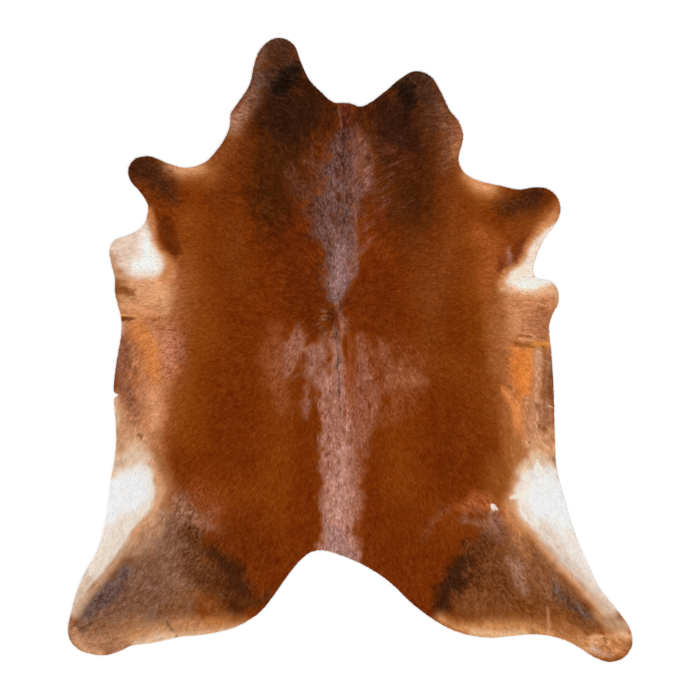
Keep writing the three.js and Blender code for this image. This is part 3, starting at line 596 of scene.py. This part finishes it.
    ("right neck wrinkle", "#b3714f", 0.75, 0.8, 0.3, 0.3, [(40.5, 81, 0.3), (44, 83, 0.3)]),
    ("right neck pinch highlight", "#b3714f", 0.75, 1, 0.3, 0.3, [(41.5, 79, 0.5), (42, 75.5, 0.6)]),
]

# How far light and dark hairs stray from the washes: on an even stretch, and added where it breaks up.
PATCH_SHADE = (0.005, 0.040)
HAIR_SHADE = (0.006, 0.075)


def coat_colour(x, y, luck=0):
    """Linear colour of the hair at a place (cm): the washes laid in turn over the ground colour, as sRGB.

    cover = strength * smoothstep(0.5 - (distance outside the stroke + raggedness * edge noise) / soft edge),
    and colour = colour + cover * (tone - colour). Last, light and dark hairs are added to all channels alike,
    in patches and locks and for each hair (luck), more so where the last wash has more breaks.
    """
    lie = hair_lie(x, y)
    # Patches of 45 and 21 mm and locks 11 mm wide. A hair is 0.08 mm, drawn 4.5 mm wide so that it shows.
    patch = 1.6 * noise(x, y, cell=4.5, seed=13) + 1.4 * noise(x, y, cell=2.1, seed=14)
    lock = 1.1 * streak(x, y, lie, cell=1.1, length=2.2, seed=11)
    hair = 1.1 * streak(x, y, lie, cell=0.45, length=0.5, seed=12)
    edge = 0.6 * patch + 0.5 * lock + 0.25 * hair
    colour = np.tile(srgb(GROUND), (len(x), 1))
    rough = np.full(len(x), GROUND_BREAKS)
    for _, tone, strength, soft, ragged, breaks, path in WASHES:
        away = stroke(x, y, path) + ragged * edge
        cover = np.clip(0.5 - away / soft, 0, 1)
        cover = strength * cover * cover * (3 - 2 * cover)
        rough += cover * (breaks - rough)
        cover = np.clip(cover * (1 + 0.3 * breaks * lock), 0, 1)
        colour += cover[:, None] * (srgb(tone) - colour)
    broad = (PATCH_SHADE[0] + PATCH_SHADE[1] * rough) * (0.6 * patch + 0.8 * lock)
    fine = (HAIR_SHADE[0] + HAIR_SHADE[1] * rough) * (hair + luck)
    return to_linear(np.clip(colour + (broad + fine)[:, None], 0, 1))


# The sheet itself, in metres.
SKIN_THICKNESS = 0.002
HAIR_DEPTH = 0.004  # of the coat as it lies
SKIN_HUB = (-0.020, 0.199)  # from here the whole cut edge can be seen
SKIN_RINGS = 30  # from the hub to the edge
RING_CROWDING = 1.6  # above 1, the rings crowd at the edge
RIM_SHARE = 0.1  # of the way from the edge to the hub, that part dried stiff
EDGE_LIFT = 0.0022  # the stiff rim curls up by this much here and there
SKIN_PAINTED_SHADE = 0.75  # painted shade: the skin between the hairs lies in their shade, so its colour is darkened by this factor
PLAN_SIDE = 2.6  # of the square that the bird's-eye map covers

# Soft ridges (height above zero) and troughs, as in the solid: a line, its width and its height.
FOLDS = [
    # name, from, to, width, height
    ("spine, fore half", (-0.038, 0.900), (-0.038, 0.160), 0.070, 0.0015),
    ("spine, hind half", (-0.038, 0.160), (-0.030, -0.720), 0.080, 0.0012),
    ("left shoulder swell", (-0.420, 0.700), (-0.300, 0.350), 0.150, 0.0010),
    ("right shoulder swell", (0.360, 0.620), (0.250, 0.330), 0.150, 0.0010),
    ("left thigh swell", (-0.850, -0.950), (-0.520, -0.700), 0.140, 0.0012),
    ("right thigh swell", (0.830, -0.930), (0.500, -0.700), 0.140, 0.0012),
    ("left breast trough", (-0.925, 0.219), (-0.860, 0.217), 0.018, -0.0015),
    ("left breast ridge", (-0.920, 0.192), (-0.810, 0.196), 0.015, 0.0020),
    ("left belly ridge", (-0.912, 0.137), (-0.855, 0.138), 0.009, 0.0030),
    ("left belly crease", (-0.912, 0.121), (-0.795, 0.120), 0.009, -0.0025),
    ("right belly crease", (0.690, 0.060), (0.795, 0.046), 0.009, -0.0025),
    ("right belly ridge", (0.655, 0.050), (0.735, 0.034), 0.009, 0.0030),
    ("right belly lower ridge", (0.610, 0.012), (0.735, 0.002), 0.012, 0.0020),
    ("right belly groove, upper half", (0.758, -0.008), (0.762, -0.140), 0.010, -0.0020),
    ("right belly groove, lower half", (0.762, -0.140), (0.750, -0.360), 0.010, -0.0020),
    # Shallow creases that are too fine for the solid.
    ("neck scar", (-0.046, 0.975), (-0.040, 0.880), 0.004, -0.0015),
    ("right neck wrinkle", (0.405, 0.812), (0.442, 0.832), 0.005, 0.0012),
    ("left thigh crease", (-0.780, -1.070), (-0.735, -1.145), 0.006, 0.0012),
    ("left tip crease", (-1.118, -1.095), (-1.082, -1.140), 0.006, -0.0018),
    ("left toe crease", (-0.955, -1.150), (-0.925, -1.190), 0.006, -0.0012),
    ("right thigh crease", (0.786, -1.015), (0.800, -1.125), 0.010, 0.0012),
]


def relief(x, y):
    """Rise of the hide: the sum of its folds, each its height times the bell exp(-(distance / width)^2)."""
    rise = np.zeros(len(x))
    for _, start, end, width, height in FOLDS:
        away = stroke(x, y, [(*start, 0), (*end, 0)])
        rise += height * np.exp(-((away / width) ** 2))
    return rise


def cut_edge():
    """The knife's line: the points of the solid's underside, in order round the hub, halved once.

    A new point between two is (9 * their sum - the sum of the next two) / 16, which keeps the curve smooth.
    """
    points = np.array([v.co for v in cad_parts["hide"].data.vertices])
    rim = np.unique(points[points[:, 2] < 1e-5][:, :2].round(6), axis=0)
    rim = rim[np.argsort(np.arctan2(rim[:, 1] - SKIN_HUB[1], rim[:, 0] - SKIN_HUB[0]))]
    before, after, beyond = np.roll(rim, 1, 0), np.roll(rim, -1, 0), np.roll(rim, -2, 0)
    between = (9 * (rim + after) - before - beyond) / 16
    return np.stack([rim, between], axis=1).reshape(-1, 2)


EDGE = cut_edge()


def outside(x, y):
    """How far a point is past the cut edge, seen from the hub, as a share of the edge's own distance.

    It is 1 / reach - 1, where the ray from the hub meets the edge at reach times the point's distance.
    """
    ray_x, ray_y = x - SKIN_HUB[0], y - SKIN_HUB[1]
    spokes = EDGE - SKIN_HUB
    bearing = np.arctan2(spokes[:, 1], spokes[:, 0])
    after = np.searchsorted(bearing, np.arctan2(ray_y, ray_x)) % len(EDGE)
    start, end = spokes[after - 1], spokes[after]
    run = end - start
    reach = (start[:, 0] * run[:, 1] - start[:, 1] * run[:, 0]) / (ray_x * run[:, 1] - ray_y * run[:, 0])
    return 1 / reach - 1


def new_piece(name, points, faces, material):
    """A mesh object at the origin from an array of points and a list of face arrays of one width each."""
    mesh = bpy.data.meshes.new(name)
    corners = np.concatenate([f.ravel() for f in faces]).astype(np.int32)
    sizes = np.concatenate([np.full(len(f), f.shape[1]) for f in faces])
    starts = np.concatenate([[0], np.cumsum(sizes)[:-1]]).astype(np.int32)
    mesh.vertices.add(len(points))
    mesh.vertices.foreach_set("co", points.astype(np.float32).ravel())
    mesh.loops.add(len(corners))
    mesh.loops.foreach_set("vertex_index", corners)
    mesh.polygons.add(len(sizes))
    mesh.polygons.foreach_set("loop_start", starts)
    mesh.update(calc_edges=True)
    mesh.materials.append(material)
    piece = bpy.data.objects.new(name, mesh)
    bpy.context.scene.collection.objects.link(piece)
    return piece


def put_colour(piece, colour):
    """Stores one linear colour per point, the hair's colour with its painted light and shade, as the
    attribute that the hair and skin materials read.
    """
    layer = piece.data.color_attributes.new("pigment_and_painted_light", "FLOAT_COLOR", "POINT")
    rgba = np.concatenate([colour, np.ones((len(colour), 1))], axis=1)
    layer.data.foreach_set("color", rgba.astype(np.float32).ravel())


def put_map(piece, name, flat):
    """A UV map from one pair of numbers per point."""
    corners = np.empty(len(piece.data.loops), np.int32)
    piece.data.loops.foreach_get("vertex_index", corners)
    layer = piece.data.uv_layers.new(name=name)
    layer.data.foreach_set("uv", flat[corners].astype(np.float32).ravel())


def plan(points):
    """Bird's-eye map: x and y of the hide, squeezed into a unit square."""
    return points[:, :2] / PLAN_SIDE + 0.5


def node(tree, kind, settings=None, **links):
    """Adds one node: settings go on the node or its own sockets, links join its inputs to other sockets."""
    made = tree.nodes.new(kind)
    for name, value in (settings or {}).items():
        if name in made.inputs:
            made.inputs[name].default_value = value
        else:
            setattr(made, name, value)
    for name, source in links.items():
        tree.links.new(source, made.inputs[name.replace("_", " ")])
    return made


def new_material(name):
    """An empty node material with its output node."""
    material = bpy.data.materials.new(name)
    material.use_nodes = True
    material.node_tree.nodes.clear()
    return material, material.node_tree, material.node_tree.nodes.new("ShaderNodeOutputMaterial")


# Suede: the flesh side, split and buffed to a short dry nap. It is pale, matt and slightly blotched.
suede, tree, output = new_material("suede_flesh_side")
place = node(tree, "ShaderNodeTexCoord").outputs["Object"]
blotch = node(tree, "ShaderNodeTexNoise", {"Scale": 14.0, "Detail": 4.0}, Vector=place)
tint = node(tree, "ShaderNodeValToRGB", Fac=blotch.outputs["Fac"])
tint.color_ramp.elements[0].position = 0.35
tint.color_ramp.elements[0].color = (*linear("#a58c70"), 1)
tint.color_ramp.elements[1].position = 0.68
tint.color_ramp.elements[1].color = (*linear("#c8b498"), 1)
# The nap is 0.3 mm fine, drawn 1.5 mm coarse so that it shows.
nap = node(tree, "ShaderNodeTexNoise", {"Scale": 650.0, "Detail": 2.0}, Vector=place)
bump = node(tree, "ShaderNodeBump", {"Strength": 0.35, "Distance": 0.0006}, Height=nap.outputs["Fac"])
shader = node(
    tree, "ShaderNodeBsdfPrincipled", {"Roughness": 0.92, "Specular IOR Level": 0.2},
    Base_Color=tint.outputs["Color"], Normal=bump.outputs["Normal"])
tree.links.new(shader.outputs["BSDF"], output.inputs["Surface"])

# Grain side under the hair: skin coloured like the hair that grows from it and darkened as painted shade of
# the hair, pitted by the hair roots.
grain, tree, output = new_material("hair_root_grain")
place = node(tree, "ShaderNodeTexCoord").outputs["Object"]
pigment_and_painted_light = node(tree, "ShaderNodeAttribute", {"attribute_name": "pigment_and_painted_light"})
# Pores stand about 0.4 mm apart, drawn 2 mm apart so that they show between the tufts.
pores = node(tree, "ShaderNodeTexVoronoi", {"Scale": 500.0}, Vector=place)
bump = node(tree, "ShaderNodeBump", {"Strength": 0.4, "Distance": 0.0005}, Height=pores.outputs["Distance"])
shader = node(
    tree, "ShaderNodeBsdfPrincipled", {"Roughness": 0.75, "Specular IOR Level": 0.2},
    Base_Color=pigment_and_painted_light.outputs["Color"], Normal=bump.outputs["Normal"])
tree.links.new(shader.outputs["BSDF"], output.inputs["Surface"])


def skin_sheet():
    """Two shells over (turn, reach), turn round the edge and reach 0 to 1 from the hub, met by the cut.

    A point is hub + reach * (edge - hub), with reach = 1 - (1 - ring / rings) ^ crowding.
    The grain side is one thickness over the flesh side, and both rise over a ridge and in the curled rim.
    """
    reach = 1 - (1 - np.linspace(0, 1, SKIN_RINGS + 1)[1:]) ** RING_CROWDING
    flat = SKIN_HUB + reach[:, None, None] * (EDGE - SKIN_HUB)
    turn = len(EDGE)
    x, y = np.append(flat[:, :, 0].ravel(), SKIN_HUB[0]), np.append(flat[:, :, 1].ravel(), SKIN_HUB[1])
    stiff = np.append(np.repeat(np.clip((reach - (1 - RIM_SHARE)) / RIM_SHARE, 0, 1) ** 2, turn), 0)
    curl = EDGE_LIFT * stiff * np.clip(noise(x * 100, y * 100, cell=9, seed=31) + 0.1, 0, 1)
    under = np.maximum(relief(x, y), 0) + curl
    top = np.stack([x, y, under + SKIN_THICKNESS], axis=1)
    low = np.stack([x, y, under], axis=1)
    ring, step = np.meshgrid(np.arange(SKIN_RINGS - 1), np.arange(turn), indexing="ij")
    here, beside = ring * turn + step, ring * turn + (step + 1) % turn
    quads = np.stack([here, here + turn, beside + turn, beside], axis=-1).reshape(-1, 4)
    first = np.arange(turn)
    fan = np.stack([np.full(turn, len(x) - 1), first, (first + 1) % turn], axis=1)
    rim = (SKIN_RINGS - 1) * turn + first
    rim_next = (SKIN_RINGS - 1) * turn + (first + 1) % turn
    cut = np.stack([rim, rim + len(x), rim_next + len(x), rim_next], axis=1)
    faces = [fan, quads, (fan + len(x))[:, ::-1], (quads + len(x))[:, ::-1], cut]
    return np.concatenate([top, low]), faces


points, faces = skin_sheet()
skin = new_piece("hide_skin", points, faces, grain)
skin.data.materials.append(suede)
grain_faces = len(faces[0]) + len(faces[1])
is_suede = np.arange(len(skin.data.polygons)) >= grain_faces
skin.data.polygons.foreach_set("material_index", is_suede.astype(np.int32))
skin.data.polygons.foreach_set("use_smooth", np.ones(len(is_suede), bool))
put_colour(skin, SKIN_PAINTED_SHADE * coat_colour(points[:, 0] * 100, points[:, 1] * 100))
put_map(skin, "OFBake", plan(points))
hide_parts("hide")
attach(skin, "root")


# The coat. Short summer hair that lies flat on the skin and points away from the whorl on the back.
# It is grown, not laid on: each tuft below is a lock of hairs that share one root and one tip.
TUFT_STEP = 0.00282  # between neighbouring roots
TUFT_LENGTH = 0.015
TUFT_WIDTH = 0.0024
LENGTH_SPREAD = 0.25  # either way, as a share
WIDTH_SPREAD = (0.8, 1.25)
CLUMP_SWIRL, LOCK_SWIRL, STRAY = 0.16, 0.10, 0.12  # radians off the lie: in clumps, in locks and by chance
TIP_BEND = 0.06  # sideways, as a share of the length
TUFT_BELLY = 0.45  # of the length, where a lock is widest
BELLY_RISE = 0.62  # of the tip's height over the skin
ROOT_RISE = 0.0002  # height of a lock's root over the skin
TRIMMED = (0.8, 0.6, 0.4, 0.25)  # of the length: lengths tried in turn where a tip hangs too far over
OVERHANG = 0.004  # of the longest tips past the cut edge
SHADE_MAKEUP = 1.15  # the locks shade one another, so their pigment is this much lighter than the coat looks
ROOT_SHADE, TIP_LIGHT = -0.22, 0.06  # painted shade at the root and painted light at the tip of each lock
COAT_NAMES = ["coat_neck", "coat_shoulders", "coat_barrel", "coat_loin", "coat_haunches"]
random = np.random.default_rng(7)

# Hair: a cylinder of clear keratin over pigment, smooth and faintly oily, so it has a soft silky gloss.
hair, tree, output = new_material("short_cattle_hair")
# The stored colour holds painted light and shade as well as the hair's own colour.
pigment_and_painted_light = node(tree, "ShaderNodeAttribute", {"attribute_name": "pigment_and_painted_light"})
along = node(tree, "ShaderNodeUVMap", {"uv_map": "lock"})
# A lock is some twenty hairs of 0.08 mm, drawn as six so that each is seen.
strands = node(tree, "ShaderNodeMapping", {"Scale": (6.0, 0.7, 1.0)}, Vector=along.outputs["UV"])
fibre = node(tree, "ShaderNodeTexNoise", {"Scale": 1.0, "Detail": 2.0}, Vector=strands.outputs["Vector"])
shade = node(
    tree, "ShaderNodeMapRange", {"From Min": 0.3, "From Max": 0.7, "To Min": 0.86, "To Max": 1.12},
    Value=fibre.outputs["Fac"])
tint = node(
    tree, "ShaderNodeVectorMath", {"operation": "SCALE"},
    Vector=pigment_and_painted_light.outputs["Color"], Scale=shade.outputs["Result"])
gloss = node(
    tree, "ShaderNodeMapRange", {"From Min": 0.3, "From Max": 0.7, "To Min": 0.42, "To Max": 0.62},
    Value=fibre.outputs["Fac"])
bump = node(tree, "ShaderNodeBump", {"Strength": 0.25, "Distance": 0.0003}, Height=fibre.outputs["Fac"])
# The gloss is weak and amber, because most of it has passed through the pigment.
shader = node(
    tree, "ShaderNodeBsdfPrincipled",
    {"Specular IOR Level": 0.15, "Specular Tint": (*linear("#ffbc6c"), 1)},
    Base_Color=tint.outputs["Vector"], Roughness=gloss.outputs["Result"], Normal=bump.outputs["Normal"])
tree.links.new(shader.outputs["BSDF"], output.inputs["Surface"])


def roots():
    """Root places: a square lattice over the hide, each point moved at random by up to half a step."""
    low, high = EDGE.min(0), EDGE.max(0)
    columns, rows = np.meshgrid(*(np.arange(low[i], high[i], TUFT_STEP) for i in (0, 1)))
    place = np.stack([columns.ravel(), rows.ravel()], axis=1)
    place += random.uniform(-0.5, 0.5, place.shape) * TUFT_STEP
    place = place[outside(place[:, 0], place[:, 1]) < 0]
    return place[np.argsort(-place[:, 1], kind="stable")]


def tufts():
    """Each lock is a kite: root, two sides and tip, along the lie of the hair and rising off the skin.

    side = root + belly * length * lie +- width / 2 * across, and tip = root + length * (lie + bend * across).
    The hair lies on the folds of the skin, and is pressed flat in a trough, where the skin stays level.
    """
    root = roots()
    count = len(root)
    x_cm, y_cm = root[:, 0] * 100, root[:, 1] * 100
    lie = hair_lie(x_cm, y_cm)
    swirl = CLUMP_SWIRL * noise(x_cm, y_cm, cell=1.7, seed=41)
    swirl += LOCK_SWIRL * noise(x_cm, y_cm, cell=0.8, seed=42)
    swirl += random.normal(0, STRAY, count)
    lie = np.stack([
        lie[:, 0] * np.cos(swirl) - lie[:, 1] * np.sin(swirl),
        lie[:, 0] * np.sin(swirl) + lie[:, 1] * np.cos(swirl)], axis=1)
    across = np.stack([-lie[:, 1], lie[:, 0]], axis=1)
    growth = 0.12 * noise(x_cm, y_cm, cell=3, seed=43)
    length = TUFT_LENGTH * (1 + growth + random.uniform(-LENGTH_SPREAD, LENGTH_SPREAD, count))
    width = TUFT_WIDTH * random.uniform(*WIDTH_SPREAD, count)
    for share in TRIMMED:
        tip = root + lie * length[:, None]
        far = outside(tip[:, 0], tip[:, 1]) * np.hypot(*(tip - SKIN_HUB).T)
        length = np.where(far > OVERHANG * random.uniform(0.1, 1, count), TUFT_LENGTH * share, length)
    bend = random.normal(0, TIP_BEND, count)[:, None] * length[:, None]
    middle = root + TUFT_BELLY * length[:, None] * lie
    half = 0.5 * width[:, None] * across
    tip = root + length[:, None] * lie + bend * across
    flat = np.stack([root, middle - half, tip, middle + half], axis=1)
    # Clumps of 12 mm stand a little higher and carry painted light, and each lock is rolled a little to one
    # side.
    clump = 0.5 + 0.5 * noise(x_cm, y_cm, cell=1.2, seed=44)
    rise = HAIR_DEPTH * (0.55 + 0.25 * clump + 0.15 * random.random(count))
    roll = 0.2 * width * random.normal(0, 1, count)
    belly = BELLY_RISE * rise
    depth = np.stack([np.full(count, ROOT_RISE), belly - roll, rise, belly + roll], axis=1)
    fx, fy = flat[..., 0].ravel(), flat[..., 1].ravel()
    fold = relief(fx, fy).reshape(count, 4)
    low = SKIN_THICKNESS + np.maximum(fold, 0)
    squeeze = np.clip(1 + np.minimum(fold, 0) / HAIR_DEPTH, 0.3, 1)
    height = low + np.maximum(depth, ROOT_RISE) * squeeze
    # A lock is coloured for the place where its outer half is seen. Pale hair shows less of its painted light
    # and shade.
    seen = root + 0.7 * length[:, None] * lie
    luck = random.normal(0, 1, count)
    colour = coat_colour(seen[:, 0] * 100, seen[:, 1] * 100, luck)
    contrast = 1 - 0.9 * colour.mean(axis=1)
    # Painted light on the higher clumps and painted shade on the lower ones, and a random tone for each lock.
    colour *= (1 + contrast * (0.05 * random.normal(0, 1, count) + 0.10 * (clump - 0.5)))[:, None]
    shade = 1 + contrast[:, None] * np.array([ROOT_SHADE, 0, TIP_LIGHT, 0])
    colour = np.clip(SHADE_MAKEUP * colour[:, None, :] * shade[:, :, None], 0, 0.96)
    return np.concatenate([flat, height[..., None]], axis=2), colour


kites, kite_colours = tufts()
LOCK_MAP = np.array([(0.5, 0.0), (0.0, TUFT_BELLY), (0.5, 1.0), (1.0, TUFT_BELLY)])
for name, band in zip(COAT_NAMES, np.array_split(np.arange(len(kites)), len(COAT_NAMES))):
    first = 4 * np.arange(len(band))[:, None]
    near, far = first + [0, 1, 3], first + [1, 2, 3]
    points = kites[band].reshape(-1, 3)
    piece = new_piece(name, points, [near, far], hair)
    put_colour(piece, kite_colours[band].reshape(-1, 3))
    put_map(piece, "OFBake", plan(points))
    # Each lock reads its own part of the fibre pattern.
    place = random.random((len(band), 1)) * 50
    put_map(piece, "lock", np.tile(LOCK_MAP, (len(band), 1)) + np.repeat(place, 4, 0))
    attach(piece, "root")


# The studio: a floor of matt paper, soft lights from all sides, and a camera straight above.
# The paper is bright and evenly lit, so that the hide has only a faint shadow at its edge.
FLOOR_HALF = 12
FLOOR_DROP = 0.0002  # below the flesh side, so that the two never share a face
corners = [(-1, -1), (1, -1), (1, 1), (-1, 1)]
floor_points = np.array([(FLOOR_HALF * x, FLOOR_HALF * y, -FLOOR_DROP) for x, y in corners])
paper, tree, output = new_material("matt_paper")
shader = node(
    tree, "ShaderNodeBsdfPrincipled",
    {"Base Color": (*linear("#f6f6f6"), 1), "Roughness": 0.95, "Specular IOR Level": 0.1})
tree.links.new(shader.outputs["BSDF"], output.inputs["Surface"])
floor = new_piece("floor", floor_points, [np.array([[0, 1, 2, 3]])], paper)

scene = bpy.context.scene
scene.view_settings.view_transform = "Standard"
world = bpy.data.worlds.new("studio")
world.use_nodes = True
world.node_tree.nodes["Background"].inputs["Color"].default_value = (1, 1, 1, 1)
world.node_tree.nodes["Background"].inputs["Strength"].default_value = 0.27
scene.world = world

# name, bearing and height above the floor in degrees, strength, apparent size in degrees
LIGHTS = [
    ("key", 320, 48, 1.56, 35),
    ("fill", 60, 42, 1.08, 45),
    ("back", 190, 50, 0.97, 45),
]
for name, bearing, above, strength, size in LIGHTS:
    light = bpy.data.lights.new(name, "SUN")
    light.energy = strength
    light.angle = math.radians(size)
    lamp = bpy.data.objects.new(name, light)
    lamp.rotation_euler = (math.radians(90 - above), 0, math.radians(bearing))
    scene.collection.objects.link(lamp)

FRAME_WIDTH = 2.7935  # seen at the height of the coat
COAT_TOP = 0.006
CAMERA_SHIFT = (-0.0006, -0.0006)  # from the middle of the hide
LENS = 0.085
SENSOR = 0.036
camera = bpy.data.objects.new("camera", bpy.data.cameras.new("camera"))
camera.data.lens = LENS * 1000
camera.data.sensor_width = SENSOR * 1000
camera.location = (*CAMERA_SHIFT, FRAME_WIDTH * LENS / SENSOR + COAT_TOP)
scene.collection.objects.link(camera)
scene.camera = camera
